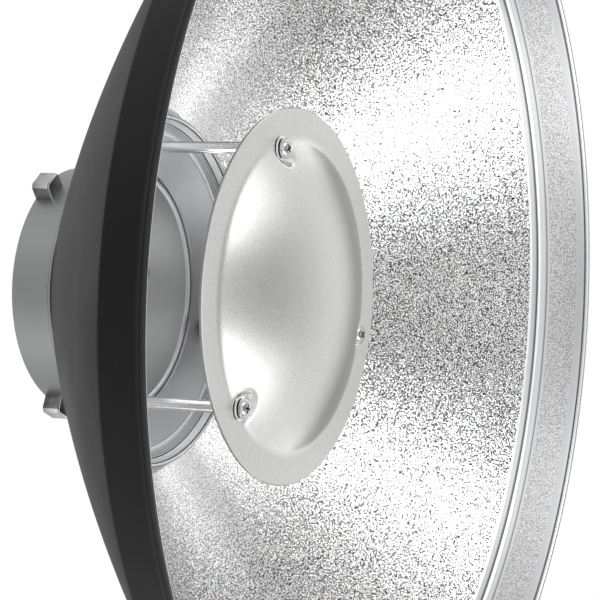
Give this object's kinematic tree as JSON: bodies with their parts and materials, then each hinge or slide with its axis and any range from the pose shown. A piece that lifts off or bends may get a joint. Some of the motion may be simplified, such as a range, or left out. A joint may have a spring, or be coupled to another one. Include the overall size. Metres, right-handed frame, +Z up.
{
  "type": "studio flash reflector dish",
  "caption": "Wide shallow reflector dish for a studio flash, black outside and grained silver inside, with a bayonet collar at the back and a domed deflector on rods in front.",
  "frame": {"origin": "centre of the bayonet collar's flat rear face, where the dish meets the lamp head", "axes": "Y along the dish's axis with the open side facing -Y and the collar facing +Y, +Z up"},
  "size_m": [0.42, 0.1555, 0.42],
  "materials": {
    "dish_paint": "satin black outside, bright silver with a fine hammered grain inside",
    "satin_aluminium": "satin",
    "turned_aluminium": "fine turned",
    "frosted_silver": "frosted",
    "lug_steel": "milled",
    "plated_steel": "zinc plated",
    "chrome": "polished"
  },
  "bodies": {
    "reflector": {"dish_shell": "dish_paint", "mount_collar": "satin_aluminium", "clamp_ring": "turned_aluminium", "bayonet_lug_1": "lug_steel", "bayonet_lug_2": "lug_steel", "bayonet_lug_3": "lug_steel", "lug_screw_1": "plated_steel", "lug_screw_2": "plated_steel", "lug_screw_3": "plated_steel", "deflector_rod_1": "chrome", "deflector_rod_2": "chrome", "deflector_rod_3": "chrome", "rod_nut_1": "plated_steel", "rod_nut_2": "plated_steel", "rod_nut_3": "plated_steel"},
    "deflector_set": {"deflector": "frosted_silver", "rear_washer_1": "plated_steel", "rear_washer_2": "plated_steel", "rear_washer_3": "plated_steel", "front_washer_1": "chrome", "front_washer_2": "chrome", "front_washer_3": "chrome"},
    "screw_1": {"deflector_screw_1": "chrome"},
    "screw_2": {"deflector_screw_2": "chrome"},
    "screw_3": {"deflector_screw_3": "chrome"}
  },
  "joints": [
    {"name": "deflector_pull_off", "type": "slide", "parent": "reflector", "child": "deflector_set", "axis": [0, -1, 0], "range_m": [0, 0.12]},
    {"name": "screw_1_turn", "type": "hinge", "parent": "deflector_set", "child": "screw_1", "pos_m": [-0.0113, -0.1047, 0.06096], "axis": [0, -1, 0], "continuous": true},
    {"name": "screw_2_turn", "type": "hinge", "parent": "deflector_set", "child": "screw_2", "pos_m": [-0.04715, -0.1047, -0.04027], "axis": [0, -1, 0], "continuous": true},
    {"name": "screw_3_turn", "type": "hinge", "parent": "deflector_set", "child": "screw_3", "pos_m": [0.05844, -0.1047, -0.0207], "axis": [0, -1, 0], "continuous": true}
  ]
}
